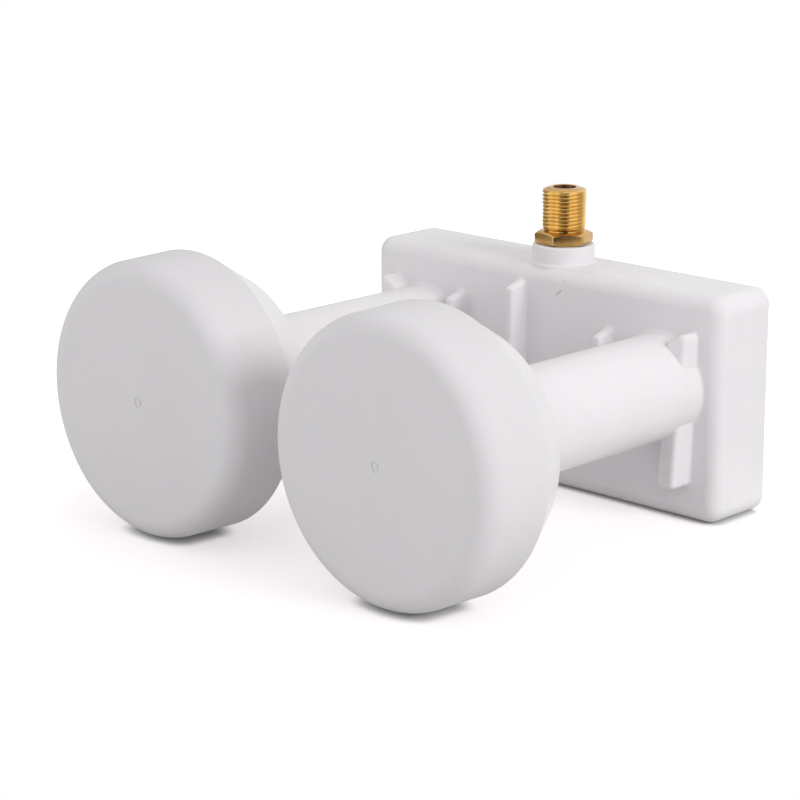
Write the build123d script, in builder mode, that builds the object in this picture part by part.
"""Twin-feed satellite LNB: a die-cast box with two feed horns under caps, and one F connector.

Millimetres. X runs along the box, Y from the feeds back through the box, Z up. The origin is
midway between the two neck axes, in the plane of the box's front face. Lengths named "reach" are
measured forward of that face.
"""
import os

from build123d import *

os.makedirs("parts", exist_ok=True)

# Feeds: necks, horns and caps
feed_spacing = 67.0
neck_d = 22.0
neck_length = 58.4
neck_root_r = 0.9
waveguide_d = 18.0
horn_back_d = 45.8
horn_edge_r = 1.2
horn_cone_length = 10.2
horn_wall = 2.4
horn_ring_wall = 1.4
horn_ring_step = 2.2
tube_mouth_d = 29.0
throat_reach = 52.0
cap_rim_d = 58.0
cap_face_d = 57.4
cap_depth = 15.6
cap_wall = 1.5
cap_edge_r = 4.2
cap_fit = 0.25
cap_seat_gap = 0.1
gate_mark_d = 2.2
gate_mark_depth = 0.15
seal_width = 2.0
seal_reach = 3.0
seal_floor_drop = 1.2
seal_gap = 0.05

# Box of the housing
box_end_margin = 15.4
box_top = 20.2
box_bottom = -27.8
box_depth = 16.3
box_corner_r = 3.8
band_depth = 0.62
band_taper = 78.0
band_front_r = 1.5
band_back_r = 3.0
rear_edge_r = 0.6
front_wall = 3.0
side_wall = 2.5
cavity_corner_r = 2.0
cover_lip = 1.2

# Ribs on the front face
rib_t = 2.2
rib_height = 4.4
rib_end_drop = 1.2
rib_edge_r = 0.8
rib_root_r = 0.8
left_rib_x = -22.4
left_rib_top = 11.6
right_rib_x = 19.6
right_rib_top = 10.0
side_rib_bottom = -12.0
centre_rib_x = -4.9
centre_rib_top = 16.6
centre_rib_bottom = -18.0

# Thicker bars on the front face, outside the necks
bar_past_feed = 9.8
bar_t = 5.0
bar_height = 5.9
bar_top_height = 4.5
bar_taper = 1.0
bar_lean = 1.2
bar_top = 13.6
bar_drop = 2.8
bar_bottom = -20.2
bar_corner_r = 1.3
bar_edge_r = 1.1
bar_root_r = 0.35

# Rear cover, its gasket and screws
cover_t = 2.4
cover_fit = 0.15
field_depth = 0.5
field_taper = 30.0
field_margin = 6.5
field_count = 3
field_gap = 3.0
field_corner_r = 2.0
gasket_t = 0.8
post_r = 3.2
post_bite = 0.6
cover_screw_r = 1.25
cover_screw_length = 9.0
cover_head_r = 2.4
cover_head_h = 1.5
cover_head_sink = 0.1
screw_fit = 0.1
cross_width = 0.6
cross_depth = 0.8

# Connector on top of the box
connector_y = 8.0
boss_d = 13.5
boss_height = 4.0
boss_edge_r = 0.5
boss_flare_r = 0.4
hex_flats = 11.1
hex_h = 2.8
hex_turn = -10.0
hex_chamfer = 0.4
hex_shoulder_r = 4.75
hex_shoulder_drop = 0.7
collar_d = 8.6
collar_h = 0.25
thread_d = 9.42
thread_h = 9.15
thread_chamfer = 0.5
mouth_d = 4.8
mouth_depth = 2.0
stub_d = 8.0
stub_fit = 0.05
core_d = 6.2
core_fit = 0.05
contact_d = 1.1
contact_sink = 1.2
tail_drop = 4.0
tail_bend_r = 1.5
seal_ring_d = 1.1
seal_ring_fit = 0.08

# Circuit board and what stands on it
board_t = 1.0
board_gap = 0.4
hole_fit = 0.15
shield_past_feed = 4.5
shield_gap = 0.7
feed_strip_h = 8.5
shield_wall = 1.5
shield_divider_x = 17.0
shield_lift = 0.05
shield_column_r = 2.6
shield_screw_r = 1.0
shield_screw_bite = 2.0
shield_head_r = 1.9
shield_head_h = 1.3
head_clear = 0.3
pad_t = 1.5
pad_w = 60.0
pad_h = 20.0
tuner_r = 2.0
tuner_length = 3.6
tuner_proud = 0.8
resonator_r = 2.9
resonator_h = 2.4
resonator_x = 9.0
resonator_drop = 4.2
transistor_size = 2.0
transistor_h = 0.8
chip_size = 4.0
chip_h = 0.9
converter_rise = 5.2
switch_drop = 3.8
regulator_w = 6.5
regulator_h = 5.6
regulator_t = 2.3
regulator_x = 20.0
choke_r = 2.0
choke_length = 6.0
choke_x = -14.0
capacitor_r = 2.0
capacitor_h = 5.4
capacitor_x = -25.0

# Probes in the waveguides
probe_r = 0.6
probe_offset = 6.6
probe_tip_gap = 1.2
probe_tail = 0.5
probe_bend_r = 1.2
vertical_probe_reach = 6.4
horizontal_probe_reach = 15.0
sleeve_r = 1.9
sleeve_fit = 0.05
septum_r = 0.75
septum_reach = 10.6
septum_rise = 2.3

# Places worked out from the sizes above
SIDES = {"left": -1, "right": 1}
flat = 0.01
feed_x = feed_spacing / 2
neck_r = neck_d / 2
waveguide_r = waveguide_d / 2
horn_back_r = horn_back_d / 2
box_w = feed_spacing + 2 * box_end_margin
box_h = box_top - box_bottom
box_mid = (box_top + box_bottom) / 2

cap_rim_r = cap_rim_d / 2
cap_face_r = cap_face_d / 2
rim_reach = neck_length + horn_cone_length
cap_back_reach = rim_reach + cap_seat_gap
cap_face_reach = cap_back_reach + cap_depth
seat_r = cap_face_r - cap_wall - cap_fit
rim_r = cap_rim_r - cap_fit
horn_front_reach = cap_face_reach - cap_edge_r - cap_fit
tube_mouth_r = tube_mouth_d / 2
groove_floor_r = seat_r - seal_floor_drop
groove_outer_r = groove_floor_r - horn_ring_wall
tube_outer_r = tube_mouth_r + horn_ring_wall
groove_w = (groove_outer_r - tube_outer_r - horn_ring_wall) / 2

cavity_w = box_w - 2 * side_wall
cavity_top = box_top - side_wall
cavity_bottom = box_bottom + side_wall
cavity_h = cavity_top - cavity_bottom
cover_y = box_depth - cover_t
ledge_y = cover_y - gasket_t
field_w = (cavity_w - 2 * field_margin + field_gap) / field_count - field_gap
post_inset = post_r - post_bite
POSTS = [
    (sx * (cavity_w / 2 - post_inset), z)
    for sx in (-1, 1)
    for z in (cavity_bottom + post_inset, cavity_top - post_inset)
]

boss_top = box_top + boss_height
thread_base = boss_top + hex_h + collar_h
connector_top = thread_base + thread_h
core_top = connector_top - mouth_depth
stub_bottom = cavity_top
seal_recess_r = stub_d / 2 + seal_ring_d + seal_ring_fit

board_y = front_wall + board_t
pad_y = cover_y - pad_t
roof_y = pad_y - head_clear - shield_head_h
shield_half = feed_x + shield_past_feed
shield_bottom = cavity_bottom + post_inset + post_r + shield_gap
shield_top = cavity_top - feed_strip_h
shield_mid = (shield_top + shield_bottom) / 2
strip_z = (shield_top + cavity_top) / 2
COLUMNS = [
    (x, z)
    for x in (-shield_half + shield_column_r, 0, shield_half - shield_column_r)
    for z in (shield_bottom + shield_column_r, shield_top - shield_column_r)
]
RESONATORS = {"low_band": -resonator_x, "high_band": resonator_x}
resonator_z = shield_mid - resonator_drop


def front_plane(reach):
    """Plane parallel to the box's front face, this far in front of it, facing forward."""
    return Plane.XZ.offset(reach)


def feed_plane(side):
    """Half-section plane of one feed: local x is the radius, local y the reach forward."""
    return Plane(origin=(side * feed_x, 0, 0), x_dir=(1, 0, 0), z_dir=(0, 0, -1))


def feed_axis(side):
    return Axis((side * feed_x, 0, 0), (0, 1, 0))


def probe_feet(side):
    """Where the vertical and the horizontal probe of one feed pass through the front wall."""
    return [(side * feed_x, -probe_offset), (side * (feed_x - probe_offset), 0)]


def foot_edges(piece, x, width):
    """Edges in the front face round the foot of a rib of this width, centred on this x."""
    in_face = piece.edges().filter_by_position(Axis.Y, -flat, flat)
    return in_face.filter_by_position(Axis.X, x - width, x + width)


def save(piece, name):
    piece.part.label = name
    export_step(piece.part, f"parts/{name}.step")


# The housing is one casting: box, ribs, boss, necks and horns, then the hollows cut out of it
with BuildPart() as housing:
    with BuildSketch(front_plane(-band_depth)) as box_outline:
        with Locations((0, box_mid)):
            RectangleRounded(box_w, box_h, box_corner_r)
    extrude(amount=band_depth - box_depth)
    extrude(box_outline.sketch, amount=band_depth, taper=band_taper)
    fillet(housing.faces().sort_by(Axis.Y)[0].edges(), band_front_r)
    fillet(housing.edges().filter_by_position(Axis.Y, band_depth - flat, band_depth + flat), band_back_r)
    fillet(housing.faces().sort_by(Axis.Y)[-1].edges(), rear_edge_r)

    # Thin ribs, drawn from the side, with ends that slope and a rounded foot
    for x, low, high in (
        (left_rib_x, side_rib_bottom, left_rib_top),
        (centre_rib_x, centre_rib_bottom, centre_rib_top),
        (right_rib_x, side_rib_bottom, right_rib_top),
    ):
        with BuildSketch(Plane.YZ.offset(x)):
            with BuildLine():
                Polyline(
                    (0, low),
                    (-rib_height, low + rib_end_drop),
                    (-rib_height, high - rib_end_drop),
                    (0, high),
                    close=True,
                )
            make_face()
        extrude(amount=rib_t / 2, both=True)
        rib_edges = housing.edges(Select.LAST)
        fillet(rib_edges.filter_by_position(Axis.Y, -rib_height, -flat), rib_edge_r)
        fillet(foot_edges(housing, x, rib_t), rib_root_r)

    # Bars with a slanted top, drawn from the front, their faces then leaned back at the top
    with BuildSketch(front_plane(0)) as bar_outlines:
        for bar_x, side in ((feed_x + bar_past_feed, 1), (-feed_x - bar_past_feed, -1)):
            with BuildLine():
                Polyline(
                    (bar_x, bar_top),
                    (bar_x - side * bar_lean, bar_bottom),
                    (bar_x - side * (bar_lean + bar_t), bar_bottom),
                    (bar_x - side * bar_t, bar_top - bar_drop),
                    close=True,
                )
            make_face()
        fillet(bar_outlines.vertices(), bar_corner_r)
    extrude(amount=bar_height, taper=bar_taper)
    with BuildSketch(Plane.YZ):
        with BuildLine():
            Polyline(
                (-bar_height, bar_bottom), (-bar_height, bar_top), (-bar_top_height, bar_top), close=True
            )
        make_face()
    extrude(amount=box_w / 2, both=True, mode=Mode.SUBTRACT)
    fillet(housing.faces().sort_by(Axis.Y)[:len(SIDES)].edges(), bar_edge_r)
    for side in SIDES.values():
        fillet(foot_edges(housing, side * (feed_x + bar_past_feed - bar_t / 2), bar_t), bar_root_r)

    # Boss of the connector, flared where it meets the top of the box
    with BuildSketch(Plane.XZ.offset(-connector_y)) as boss_section:
        with BuildLine():
            Polyline(
                (boss_d / 2, box_top + boss_flare_r),
                (boss_d / 2, boss_top),
                (0, boss_top),
                (0, cavity_top),
                (boss_d / 2 + boss_flare_r, cavity_top),
                (boss_d / 2 + boss_flare_r, box_top),
            )
            CenterArc(
                (boss_d / 2 + boss_flare_r, box_top + boss_flare_r), boss_flare_r, 180, 90
            )
        make_face()
        fillet(boss_section.vertices().sort_by_distance((boss_d / 2, boss_top, 0))[0], boss_edge_r)
    revolve(axis=Axis((0, connector_y, 0), (0, 0, 1)))

    for side in SIDES.values():
        with BuildSketch(feed_plane(side)) as feed_section:
            with BuildLine():
                Polyline(
                    (neck_r, neck_root_r),
                    (neck_r, neck_length),
                    (horn_back_r, neck_length),
                    (rim_r, rim_reach),
                    (seat_r, rim_reach),
                    (seat_r, horn_front_reach),
                    (0, horn_front_reach),
                    (0, -front_wall / 2),
                    (neck_r + neck_root_r, -front_wall / 2),
                    (neck_r + neck_root_r, 0),
                )
                CenterArc((neck_r + neck_root_r, neck_root_r), neck_root_r, 180, 90)
            make_face()
            for corner in ((neck_r, neck_length), (horn_back_r, neck_length)):
                fillet(feed_section.vertices().sort_by_distance((*corner, 0))[0], horn_edge_r)
        revolve(axis=feed_axis(side))

    # Round waveguide, flared at its mouth, with two choke rings around it
    for side in SIDES.values():
        with BuildSketch(feed_plane(side)):
            with BuildLine():
                Polyline(
                    (0, 0),
                    (waveguide_r, 0),
                    (waveguide_r, throat_reach),
                    (tube_mouth_r, horn_front_reach),
                    (0, horn_front_reach),
                    close=True,
                )
            make_face()
        revolve(axis=feed_axis(side), mode=Mode.SUBTRACT)
        for ring, floor in enumerate((neck_length + horn_wall, rim_reach)):
            groove_r = tube_outer_r + ring * (groove_w + horn_ring_wall)
            with BuildSketch(front_plane(horn_front_reach)):
                with Locations((side * feed_x, 0)):
                    Circle(groove_r + groove_w)
                    Circle(groove_r, mode=Mode.SUBTRACT)
            extrude(amount=floor - horn_front_reach, mode=Mode.SUBTRACT)
            with BuildSketch(front_plane(horn_front_reach)):
                with Locations((side * feed_x, 0)):
                    Circle(groove_r)
            extrude(amount=-horn_ring_step, mode=Mode.SUBTRACT)
        with BuildSketch(front_plane(rim_reach + seal_reach)):
            with Locations((side * feed_x, 0)):
                Circle(seat_r + cap_fit)
                Circle(groove_floor_r, mode=Mode.SUBTRACT)
        extrude(amount=seal_width, mode=Mode.SUBTRACT)

    # Cavity behind the front wall, and the pocket that the rear cover drops into
    with BuildSketch(front_plane(-box_depth)):
        with Locations((0, (cavity_top + cavity_bottom) / 2)):
            RectangleRounded(cavity_w, cavity_h, cavity_corner_r)
    extrude(amount=box_depth - front_wall, mode=Mode.SUBTRACT)
    with BuildSketch(front_plane(-box_depth)):
        with Locations((0, (cavity_top + cavity_bottom) / 2)):
            RectangleRounded(
                cavity_w + 2 * cover_lip, cavity_h + 2 * cover_lip, cavity_corner_r + cover_lip
            )
    extrude(amount=box_depth - ledge_y, mode=Mode.SUBTRACT)
    with BuildSketch(front_plane(-front_wall)):
        with Locations(*POSTS):
            Circle(post_r)
    extrude(amount=front_wall - ledge_y)
    with BuildSketch(front_plane(-ledge_y)):
        with Locations(*POSTS):
            Circle(cover_screw_r + screw_fit)
    extrude(amount=cover_screw_length - gasket_t, mode=Mode.SUBTRACT)

    # Holes for the shield's screws and for the probe sleeves, through or into the front wall
    with BuildSketch(front_plane(-front_wall)):
        with Locations(*COLUMNS):
            Circle(shield_screw_r + screw_fit)
    extrude(amount=shield_screw_bite + screw_fit, mode=Mode.SUBTRACT)
    with BuildSketch(front_plane(-front_wall)):
        for side in SIDES.values():
            with Locations(*probe_feet(side)):
                Circle(sleeve_r + sleeve_fit)
    extrude(amount=front_wall, mode=Mode.SUBTRACT)

    # Bore of the boss, with a recess for the connector's seal
    with BuildSketch(Plane.XY.offset(boss_top)):
        with Locations((0, connector_y)):
            Circle(stub_d / 2 + stub_fit)
    extrude(amount=cavity_top - boss_top, mode=Mode.SUBTRACT)
    with BuildSketch(Plane.XY.offset(boss_top)):
        with Locations((0, connector_y)):
            Circle(seal_recess_r)
    extrude(amount=-seal_ring_d, mode=Mode.SUBTRACT)
save(housing, "housing")

# Each cap is a moulded cup, slightly tapered, with the mark of its moulding gate on the face
for name, side in SIDES.items():
    with BuildPart() as cap:
        with BuildSketch(feed_plane(side)):
            with BuildLine():
                Polyline(
                    (0, cap_back_reach),
                    (cap_rim_r, cap_back_reach),
                    (cap_face_r, cap_face_reach),
                    (0, cap_face_reach),
                    close=True,
                )
            make_face()
        revolve(axis=feed_axis(side))
        fillet(cap.faces().sort_by(Axis.Y)[0].edges(), cap_edge_r)
        offset(amount=-cap_wall, openings=cap.faces().sort_by(Axis.Y)[-1])
        with BuildSketch(front_plane(cap_face_reach)):
            with Locations((side * feed_x, 0)):
                Circle(gate_mark_d / 2)
                Circle(gate_mark_d / 4, mode=Mode.SUBTRACT)
        extrude(amount=-gate_mark_depth, mode=Mode.SUBTRACT)
    save(cap, f"{name}_cap")

    # Flat rubber ring on the floor of the horn's groove, just filling the space to the cap
    with BuildPart() as cap_seal:
        with BuildSketch(front_plane(rim_reach + seal_reach + seal_gap)):
            with Locations((side * feed_x, 0)):
                Circle(cap_face_r - cap_wall - seal_gap)
                Circle(groove_floor_r, mode=Mode.SUBTRACT)
        extrude(amount=seal_width - 2 * seal_gap)
    save(cap_seal, f"{name}_cap_seal")

# Rear cover: a flat lid, flush with the back of the box, with sunk fields that leave stiffening
# ribs between them, and sunk holes for its screws
with BuildPart() as rear_cover:
    with BuildSketch(front_plane(-cover_y)):
        with Locations((0, (cavity_top + cavity_bottom) / 2)):
            RectangleRounded(
                cavity_w + 2 * (cover_lip - cover_fit),
                cavity_h + 2 * (cover_lip - cover_fit),
                cavity_corner_r + cover_lip - cover_fit,
            )
    extrude(amount=-cover_t)
    with BuildSketch(front_plane(-cover_y)):
        with Locations(*POSTS):
            Circle(cover_screw_r + 2 * screw_fit)
    extrude(amount=-cover_t, mode=Mode.SUBTRACT)
    with BuildSketch(front_plane(-box_depth)):
        with Locations(*POSTS):
            Circle(cover_head_r + screw_fit)
    extrude(amount=cover_head_h + cover_head_sink, mode=Mode.SUBTRACT)
    with BuildSketch(front_plane(-box_depth)):
        with Locations((0, (cavity_top + cavity_bottom) / 2)):
            with GridLocations(field_w + field_gap, 0, field_count, 1):
                RectangleRounded(field_w, cavity_h - 2 * field_margin, field_corner_r)
    extrude(amount=field_depth, taper=field_taper, mode=Mode.SUBTRACT)
    fillet(rear_cover.faces().sort_by(Axis.Y)[-1].outer_wire().edges(), rear_edge_r / 2)
save(rear_cover, "rear_cover")

# Gasket between the ledge of the box and the cover, with a round tab on each post
with BuildPart() as rear_gasket:
    with BuildSketch(front_plane(-ledge_y)):
        with Locations((0, (cavity_top + cavity_bottom) / 2)):
            RectangleRounded(
                cavity_w + 2 * (cover_lip - cover_fit),
                cavity_h + 2 * (cover_lip - cover_fit),
                cavity_corner_r + cover_lip - cover_fit,
            )
            RectangleRounded(cavity_w, cavity_h, cavity_corner_r, mode=Mode.SUBTRACT)
        with Locations(*POSTS):
            Circle(post_r)
            Circle(cover_screw_r + 2 * screw_fit, mode=Mode.SUBTRACT)
    extrude(amount=-gasket_t)
save(rear_gasket, "rear_gasket")

# Four pan screws with a cross recess
cover_head_y = box_depth - cover_head_sink
with BuildPart() as cover_screws:
    with BuildSketch(front_plane(-cover_head_y)):
        with Locations(*POSTS):
            Circle(cover_head_r)
    extrude(amount=cover_head_h)
    fillet(cover_screws.faces().sort_by(Axis.Y)[-len(POSTS):].edges(), cover_head_h / 3)
    with BuildSketch(front_plane(cover_head_h - cover_head_y)):
        with Locations(*POSTS):
            Circle(cover_screw_r)
    extrude(amount=cover_screw_length + cover_t - cover_head_h - cover_head_sink - gasket_t)
    with BuildSketch(front_plane(-cover_head_y)):
        with Locations(*POSTS):
            Rectangle(1.2 * cover_head_r, cross_width)
            Rectangle(cross_width, 1.2 * cover_head_r)
    extrude(amount=cross_depth, mode=Mode.SUBTRACT)
save(cover_screws, "cover_screws")

# Circuit board, flat against the inside of the front wall, notched round the posts
with BuildPart() as circuit_board:
    with BuildSketch(front_plane(-front_wall)):
        with Locations((0, (cavity_top + cavity_bottom) / 2)):
            RectangleRounded(cavity_w - 2 * board_gap, cavity_h - 2 * board_gap, cavity_corner_r)
        with Locations(*POSTS):
            Circle(post_r + board_gap, mode=Mode.SUBTRACT)
        with Locations(*COLUMNS):
            Circle(shield_screw_r + hole_fit, mode=Mode.SUBTRACT)
        for side in SIDES.values():
            with Locations(*probe_feet(side)):
                Circle(probe_r + hole_fit, mode=Mode.SUBTRACT)
    extrude(amount=-board_t)
save(circuit_board, "circuit_board")

# Shield: a shallow metal lid over the microwave side, with dividers and screw columns inside
with BuildPart() as board_shield:
    with BuildSketch(front_plane(-board_y)):
        with Locations((0, shield_mid)):
            RectangleRounded(2 * shield_half, shield_top - shield_bottom, shield_wall)
    extrude(amount=board_y - roof_y)
    with BuildSketch(front_plane(-board_y)):
        with Locations((0, shield_mid)):
            Rectangle(2 * (shield_half - shield_wall), shield_top - shield_bottom - 2 * shield_wall)
    extrude(amount=board_y + shield_wall - roof_y, mode=Mode.SUBTRACT)
    with BuildSketch(front_plane(shield_wall - roof_y)):
        with Locations((-shield_divider_x, shield_mid), (shield_divider_x, shield_mid)):
            Rectangle(shield_wall, shield_top - shield_bottom - shield_wall)
        with Locations(*COLUMNS):
            Circle(shield_column_r)
    extrude(amount=roof_y - shield_wall - board_y - shield_lift)
    with BuildSketch(front_plane(-roof_y)):
        with Locations(*COLUMNS):
            Circle(shield_screw_r + screw_fit)
        with Locations(*[(x, resonator_z) for x in RESONATORS.values()]):
            Circle(tuner_r + screw_fit)
    extrude(amount=roof_y - board_y, mode=Mode.SUBTRACT)
save(board_shield, "board_shield")

with BuildPart() as shield_screws:
    with BuildSketch(front_plane(-roof_y)):
        with Locations(*COLUMNS):
            Circle(shield_head_r)
    extrude(amount=-shield_head_h)
    chamfer(shield_screws.faces().sort_by(Axis.Y)[-len(COLUMNS):].edges(), shield_head_h / 3)
    with BuildSketch(front_plane(-roof_y)):
        with Locations(*COLUMNS):
            Circle(shield_screw_r)
    extrude(amount=roof_y - front_wall + shield_screw_bite)
save(shield_screws, "shield_screws")

# One slotted tuning screw over each resonator
with BuildPart() as tuning_screws:
    with BuildSketch(front_plane(-roof_y - tuner_proud)):
        with Locations(*[(x, resonator_z) for x in RESONATORS.values()]):
            Circle(tuner_r)
    extrude(amount=tuner_length)
    with BuildSketch(front_plane(-roof_y - tuner_proud)):
        with Locations(*[(x, resonator_z) for x in RESONATORS.values()]):
            Rectangle(3 * tuner_r, cross_width)
    extrude(amount=tuner_proud / 2, mode=Mode.SUBTRACT)
save(tuning_screws, "tuning_screws")

with BuildPart() as absorber_pad:
    with BuildSketch(front_plane(-cover_y)):
        with Locations((0, shield_mid)):
            RectangleRounded(pad_w, pad_h, pad_t)
    extrude(amount=pad_t)
save(absorber_pad, "absorber_pad")

for name, x in RESONATORS.items():
    with BuildPart() as resonator:
        with BuildSketch(front_plane(-board_y)):
            with Locations((x, resonator_z)):
                Circle(resonator_r)
        extrude(amount=-resonator_h)
    save(resonator, f"{name}_resonator")

with BuildPart() as amplifier_transistors:
    with BuildSketch(front_plane(-board_y)):
        for side in SIDES.values():
            for x, z in probe_feet(side):
                with Locations((x - side * 2 * transistor_size, z - 2 * transistor_size)):
                    Rectangle(transistor_size, transistor_size)
            with Locations((side * (shield_divider_x - 2 * transistor_size), shield_mid + converter_rise)):
                Rectangle(transistor_size, transistor_size)
    extrude(amount=-transistor_h)
save(amplifier_transistors, "amplifier_transistors")

for name, z in {"converter": shield_mid + converter_rise, "feed_switch": shield_mid - switch_drop}.items():
    with BuildPart() as chip:
        with BuildSketch(front_plane(-board_y)):
            with Locations((0, z)):
                Rectangle(chip_size, chip_size)
        extrude(amount=-chip_h)
        chamfer(chip.faces().sort_by(Axis.Y)[-1].edges(), chip_h / 6)
    save(chip, f"{name}_chip")

with BuildPart() as voltage_regulator:
    with BuildSketch(front_plane(-board_y)):
        with Locations((regulator_x, strip_z)):
            Rectangle(regulator_w, regulator_h)
    extrude(amount=-regulator_t)
    chamfer(voltage_regulator.faces().sort_by(Axis.Y)[-1].edges(), regulator_t / 6)
save(voltage_regulator, "voltage_regulator")

with BuildPart() as supply_choke:
    with BuildSketch(Plane.YZ.offset(choke_x - choke_length / 2)):
        with Locations((board_y + choke_r, strip_z)):
            Circle(choke_r)
    extrude(amount=choke_length)
save(supply_choke, "supply_choke")

with BuildPart() as filter_capacitor:
    with BuildSketch(front_plane(-board_y)):
        with Locations((capacitor_x, strip_z)):
            Circle(capacitor_r)
    extrude(amount=-capacitor_h)
    chamfer(filter_capacitor.faces().sort_by(Axis.Y)[-1].edges(), capacitor_r / 5)
save(filter_capacitor, "filter_capacitor")

# Bent wire probes: through the front wall on the edge of the waveguide, then in towards its axis
for name, side in SIDES.items():
    vertical_foot, horizontal_foot = probe_feet(side)
    for kind, foot, reach, tip in (
        ("vertical", vertical_foot, vertical_probe_reach, (side * feed_x, -probe_tip_gap)),
        ("horizontal", horizontal_foot, horizontal_probe_reach, (side * (feed_x - probe_tip_gap), 0)),
    ):
        with BuildPart() as probe:
            with BuildLine() as wire:
                FilletPolyline(
                    (foot[0], board_y + probe_tail, foot[1]),
                    (foot[0], -reach, foot[1]),
                    (tip[0], -reach, tip[1]),
                    radius=probe_bend_r,
                )
            with BuildSketch(Plane(origin=wire.line @ 0, z_dir=wire.line % 0)):
                Circle(probe_r)
            sweep(path=wire.line)
        save(probe, f"{name}_{kind}_probe")

    with BuildPart() as probe_sleeves:
        with BuildSketch(front_plane(-front_wall)):
            with Locations(*probe_feet(side)):
                Circle(sleeve_r)
                Circle(probe_r + sleeve_fit, mode=Mode.SUBTRACT)
        extrude(amount=front_wall)
    save(probe_sleeves, f"{name}_probe_sleeves")

    # Rod across the waveguide between the two probes, ending just short of its wall
    septum_half = (waveguide_r**2 - (septum_rise + septum_r) ** 2) ** 0.5 - sleeve_fit
    with BuildPart() as septum_pin:
        with BuildSketch(Plane.YZ.offset(side * feed_x - septum_half)):
            with Locations((-septum_reach, septum_rise)):
                Circle(septum_r)
        extrude(amount=2 * septum_half)
    save(septum_pin, f"{name}_septum_pin")

# Connector: hexagon, threaded barrel and the stub that is pressed into the boss, turned as one
with BuildPart() as connector_shell:
    with BuildSketch(Plane.XY.offset(boss_top)):
        with Locations((0, connector_y)):
            RegularPolygon(hex_flats / 2, 6, major_radius=False, rotation=hex_turn)
    extrude(amount=hex_h)
    with BuildSketch(Plane.XZ.offset(-connector_y)):
        with BuildLine():
            Polyline(
                (0, boss_top),
                (hex_flats / 2 - hex_chamfer / 2, boss_top),
                (hex_flats / 2 + 2 * hex_chamfer, boss_top + hex_chamfer),
                (hex_flats / 2 + 2 * hex_chamfer, boss_top + hex_h - hex_shoulder_drop),
                (hex_shoulder_r, boss_top + hex_h),
                (0, boss_top + hex_h),
                close=True,
            )
        make_face()
    revolve(axis=Axis((0, connector_y, 0), (0, 0, 1)), mode=Mode.INTERSECT)
    with BuildSketch(Plane.XZ.offset(-connector_y)):
        with BuildLine():
            Polyline(
                (mouth_d / 2, core_top),
                (mouth_d / 2, connector_top),
                (thread_d / 2 - thread_chamfer, connector_top),
                (thread_d / 2, connector_top - thread_chamfer),
                (thread_d / 2, thread_base),
                (collar_d / 2, thread_base),
                (collar_d / 2, boss_top + hex_h / 2),
                (stub_d / 2, boss_top + hex_h / 2),
                (stub_d / 2, stub_bottom),
                (core_d / 2, stub_bottom),
                (core_d / 2, core_top),
                close=True,
            )
        make_face()
    revolve(axis=Axis((0, connector_y, 0), (0, 0, 1)))
    with BuildSketch(Plane.XY.offset(stub_bottom)):
        with Locations((0, connector_y)):
            Circle(core_d / 2)
    extrude(amount=core_top - stub_bottom, mode=Mode.SUBTRACT)
save(connector_shell, "connector_shell")

with BuildPart() as connector_insulator:
    with BuildSketch(Plane.XY.offset(stub_bottom)):
        with Locations((0, connector_y)):
            Circle(core_d / 2 - core_fit)
            Circle(contact_d / 2 + core_fit, mode=Mode.SUBTRACT)
    extrude(amount=core_top - stub_bottom - core_fit)
save(connector_insulator, "connector_insulator")

# Contact: straight through the insulator, then bent forward on to the board
with BuildPart() as connector_contact:
    with BuildLine() as contact_wire:
        FilletPolyline(
            (0, connector_y, core_top - contact_sink),
            (0, connector_y, cavity_top - tail_drop),
            (0, board_y, cavity_top - tail_drop),
            radius=tail_bend_r,
        )
    with BuildSketch(Plane(origin=contact_wire.line @ 0, z_dir=contact_wire.line % 0)):
        Circle(contact_d / 2)
    sweep(path=contact_wire.line)
save(connector_contact, "connector_contact")

# Flat ring at the bottom of the boss's recess, under the hexagon
with BuildPart() as connector_seal:
    with BuildSketch(Plane.XY.offset(boss_top - seal_ring_d)):
        with Locations((0, connector_y)):
            Circle(seal_recess_r - seal_ring_fit / 2)
            Circle(stub_d / 2 + seal_ring_fit / 2, mode=Mode.SUBTRACT)
    extrude(amount=seal_ring_d - seal_ring_fit)
save(connector_seal, "connector_seal")
